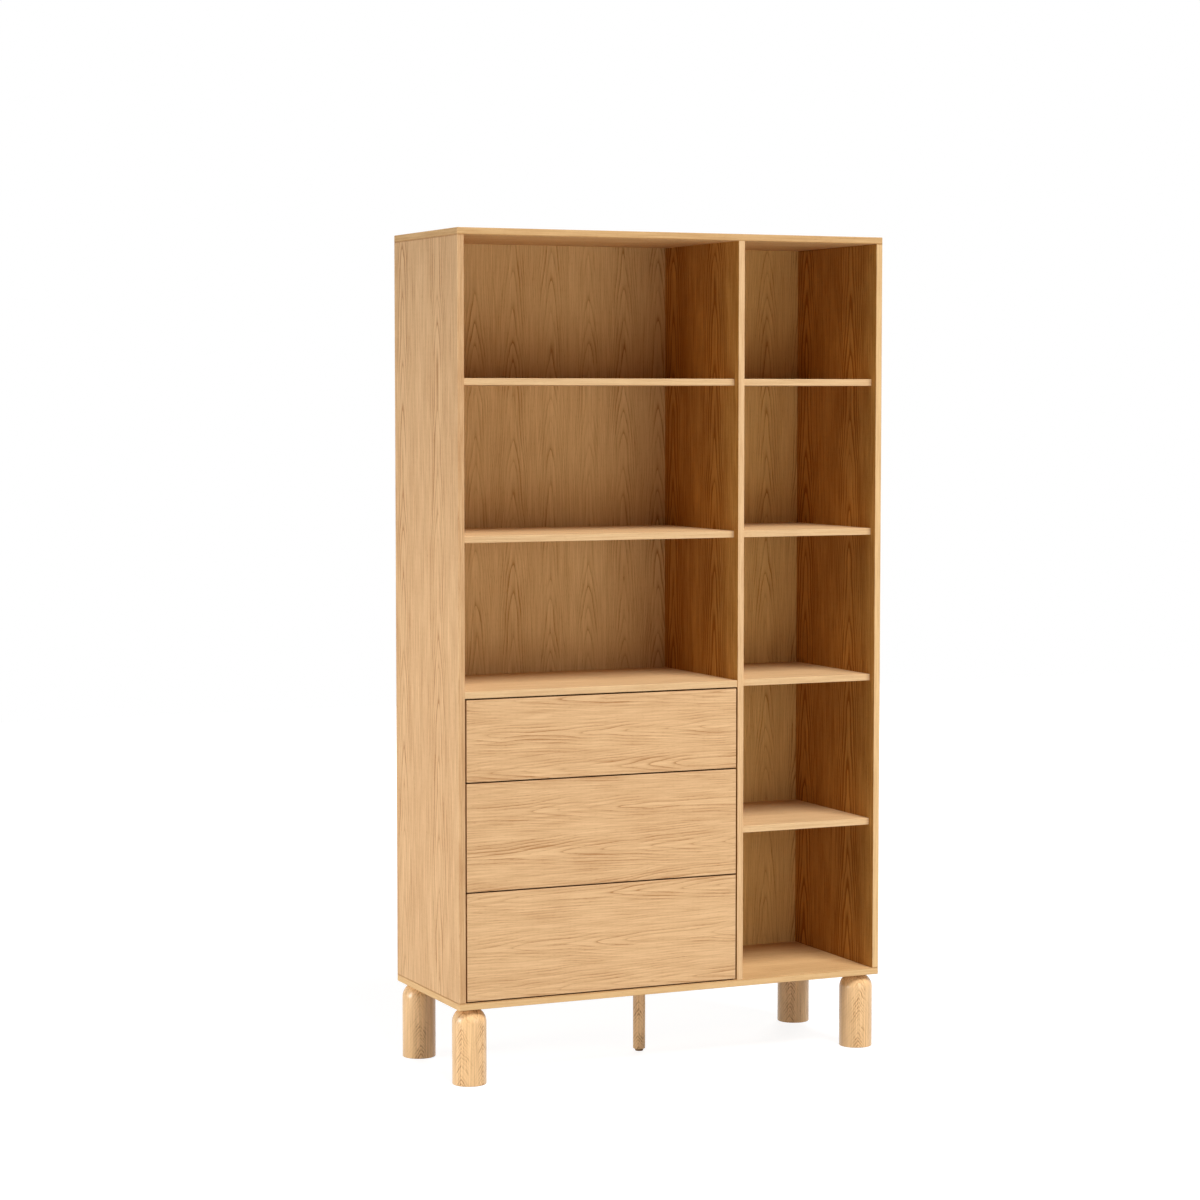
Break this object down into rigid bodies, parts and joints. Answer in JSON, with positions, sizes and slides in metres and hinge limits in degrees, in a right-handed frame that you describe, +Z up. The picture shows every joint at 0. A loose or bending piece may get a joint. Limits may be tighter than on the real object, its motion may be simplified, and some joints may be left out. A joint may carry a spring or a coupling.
{
  "type": "shelving unit",
  "caption": "Tall oak shelving unit on round domed legs, with a wide and a narrow column of open bays and a stack of flush push-to-open drawers at the lower left.",
  "frame": {"origin": "on the floor, under the middle of the case's width and depth", "axes": "+X to the right as seen from the front, +Y from the front to the back, +Z up"},
  "size_m": [1.1, 0.405, 1.97],
  "materials": {
    "oak_case": "oak veneer, matt lacquer",
    "oak_shelf": "oak veneer, matt lacquer",
    "oak_front": "oak veneer with horizontal grain, matt lacquer",
    "oak_back": "thin oak-veneered board",
    "oak_leg": "turned solid oak, matt lacquer",
    "beech_dowel": "fluted beech, unfinished",
    "drawer_box_wood": "birch plywood, clear lacquer",
    "drawer_bottom_board": "thin birch plywood, clear lacquer",
    "rail_steel": "zinc-plated rolled steel",
    "cage_steel": "bright steel balls in a pressed strip",
    "screw_steel": "zinc-plated",
    "bolt_steel": "zinc-plated",
    "insert_zinc": "die-cast zinc",
    "latch_plastic": "moulded, light grey",
    "plunger_plastic": "moulded, dark grey",
    "foot_plastic": "moulded, tan",
    "felt": "pressed felt, brown"
  },
  "bodies": {
    "root": {"top_panel": "oak_case", "bottom_panel": "oak_case", "left_side": "oak_case", "right_side": "oak_case", "divider": "oak_case", "back_board_left": "oak_back", "back_board_right": "oak_back", "shelf_left_upper": "oak_shelf", "shelf_left_lower": "oak_shelf", "drawer_bay_top": "oak_shelf", "shelf_right_lowest": "oak_shelf", "shelf_right_lower": "oak_shelf", "shelf_right_upper": "oak_shelf", "shelf_right_highest": "oak_shelf", "dowels": "beech_dowel", "case_screws": "screw_steel", "leg_front_left": "oak_leg", "leg_front_right": "oak_leg", "leg_rear_left": "oak_leg", "leg_rear_right": "oak_leg", "leg_glides": "felt", "leg_bolts": "bolt_steel", "leg_inserts": "insert_zinc", "centre_leg": "oak_leg", "case_rails": "rail_steel", "latch_bodies": "latch_plastic"},
    "drawer_bottom": {"drawer_bottom_front": "oak_front", "drawer_bottom_side_left": "drawer_box_wood", "drawer_bottom_side_right": "drawer_box_wood", "drawer_bottom_back": "drawer_box_wood", "drawer_bottom_bottom": "drawer_bottom_board", "drawer_bottom_rails": "rail_steel", "drawer_bottom_screws": "screw_steel"},
    "drawer_bottom_mid_rails": {"drawer_bottom_mid_rails": "rail_steel"},
    "drawer_bottom_outer_cages": {"drawer_bottom_outer_cages": "cage_steel"},
    "drawer_bottom_inner_cages": {"drawer_bottom_inner_cages": "cage_steel"},
    "drawer_bottom_plungers": {"drawer_bottom_plungers": "plunger_plastic"},
    "drawer_middle": {"drawer_middle_front": "oak_front", "drawer_middle_side_left": "drawer_box_wood", "drawer_middle_side_right": "drawer_box_wood", "drawer_middle_back": "drawer_box_wood", "drawer_middle_bottom": "drawer_bottom_board", "drawer_middle_rails": "rail_steel", "drawer_middle_screws": "screw_steel"},
    "drawer_middle_mid_rails": {"drawer_middle_mid_rails": "rail_steel"},
    "drawer_middle_outer_cages": {"drawer_middle_outer_cages": "cage_steel"},
    "drawer_middle_inner_cages": {"drawer_middle_inner_cages": "cage_steel"},
    "drawer_middle_plungers": {"drawer_middle_plungers": "plunger_plastic"},
    "drawer_top": {"drawer_top_front": "oak_front", "drawer_top_side_left": "drawer_box_wood", "drawer_top_side_right": "drawer_box_wood", "drawer_top_back": "drawer_box_wood", "drawer_top_bottom": "drawer_bottom_board", "drawer_top_rails": "rail_steel", "drawer_top_screws": "screw_steel"},
    "drawer_top_mid_rails": {"drawer_top_mid_rails": "rail_steel"},
    "drawer_top_outer_cages": {"drawer_top_outer_cages": "cage_steel"},
    "drawer_top_inner_cages": {"drawer_top_inner_cages": "cage_steel"},
    "drawer_top_plungers": {"drawer_top_plungers": "plunger_plastic"},
    "centre_foot": {"centre_foot": "foot_plastic"}
  },
  "joints": [
    {"name": "drawer_bottom_slide", "type": "slide", "parent": "root", "child": "drawer_bottom", "axis": [0, -1, 0], "range_m": [-0.002, 0.35]},
    {"name": "drawer_bottom_mid_rails_slide", "type": "slide", "parent": "root", "child": "drawer_bottom_mid_rails", "axis": [0, -1, 0], "range_m": [-0.001, 0.175]},
    {"name": "drawer_bottom_outer_cages_slide", "type": "slide", "parent": "root", "child": "drawer_bottom_outer_cages", "axis": [0, -1, 0], "range_m": [-0.0005, 0.0875]},
    {"name": "drawer_bottom_inner_cages_slide", "type": "slide", "parent": "root", "child": "drawer_bottom_inner_cages", "axis": [0, -1, 0], "range_m": [-0.0015, 0.2625]},
    {"name": "drawer_bottom_plungers_slide", "type": "slide", "parent": "root", "child": "drawer_bottom_plungers", "axis": [0, -1, 0], "range_m": [-0.0001, 0.0175]},
    {"name": "drawer_middle_slide", "type": "slide", "parent": "root", "child": "drawer_middle", "axis": [0, -1, 0], "range_m": [-0.002, 0.35]},
    {"name": "drawer_middle_mid_rails_slide", "type": "slide", "parent": "root", "child": "drawer_middle_mid_rails", "axis": [0, -1, 0], "range_m": [-0.001, 0.175]},
    {"name": "drawer_middle_outer_cages_slide", "type": "slide", "parent": "root", "child": "drawer_middle_outer_cages", "axis": [0, -1, 0], "range_m": [-0.0005, 0.0875]},
    {"name": "drawer_middle_inner_cages_slide", "type": "slide", "parent": "root", "child": "drawer_middle_inner_cages", "axis": [0, -1, 0], "range_m": [-0.0015, 0.2625]},
    {"name": "drawer_middle_plungers_slide", "type": "slide", "parent": "root", "child": "drawer_middle_plungers", "axis": [0, -1, 0], "range_m": [-0.0001, 0.0175]},
    {"name": "drawer_top_slide", "type": "slide", "parent": "root", "child": "drawer_top", "axis": [0, -1, 0], "range_m": [-0.002, 0.35]},
    {"name": "drawer_top_mid_rails_slide", "type": "slide", "parent": "root", "child": "drawer_top_mid_rails", "axis": [0, -1, 0], "range_m": [-0.001, 0.175]},
    {"name": "drawer_top_outer_cages_slide", "type": "slide", "parent": "root", "child": "drawer_top_outer_cages", "axis": [0, -1, 0], "range_m": [-0.0005, 0.0875]},
    {"name": "drawer_top_inner_cages_slide", "type": "slide", "parent": "root", "child": "drawer_top_inner_cages", "axis": [0, -1, 0], "range_m": [-0.0015, 0.2625]},
    {"name": "drawer_top_plungers_slide", "type": "slide", "parent": "root", "child": "drawer_top_plungers", "axis": [0, -1, 0], "range_m": [-0.0001, 0.0175]},
    {"name": "centre_foot_height", "type": "slide", "parent": "root", "child": "centre_foot", "axis": [0, 0, -1], "range_m": [0, 0.01]}
  ],
  "couplings": [
    {"joint": "drawer_bottom_mid_rails_slide", "follows": "drawer_bottom_slide", "ratio": 0.5},
    {"joint": "drawer_bottom_outer_cages_slide", "follows": "drawer_bottom_slide", "ratio": 0.25},
    {"joint": "drawer_bottom_inner_cages_slide", "follows": "drawer_bottom_slide", "ratio": 0.75},
    {"joint": "drawer_bottom_plungers_slide", "follows": "drawer_bottom_slide", "ratio": 0.05},
    {"joint": "drawer_middle_mid_rails_slide", "follows": "drawer_middle_slide", "ratio": 0.5},
    {"joint": "drawer_middle_outer_cages_slide", "follows": "drawer_middle_slide", "ratio": 0.25},
    {"joint": "drawer_middle_inner_cages_slide", "follows": "drawer_middle_slide", "ratio": 0.75},
    {"joint": "drawer_middle_plungers_slide", "follows": "drawer_middle_slide", "ratio": 0.05},
    {"joint": "drawer_top_mid_rails_slide", "follows": "drawer_top_slide", "ratio": 0.5},
    {"joint": "drawer_top_outer_cages_slide", "follows": "drawer_top_slide", "ratio": 0.25},
    {"joint": "drawer_top_inner_cages_slide", "follows": "drawer_top_slide", "ratio": 0.75},
    {"joint": "drawer_top_plungers_slide", "follows": "drawer_top_slide", "ratio": 0.05}
  ]
}
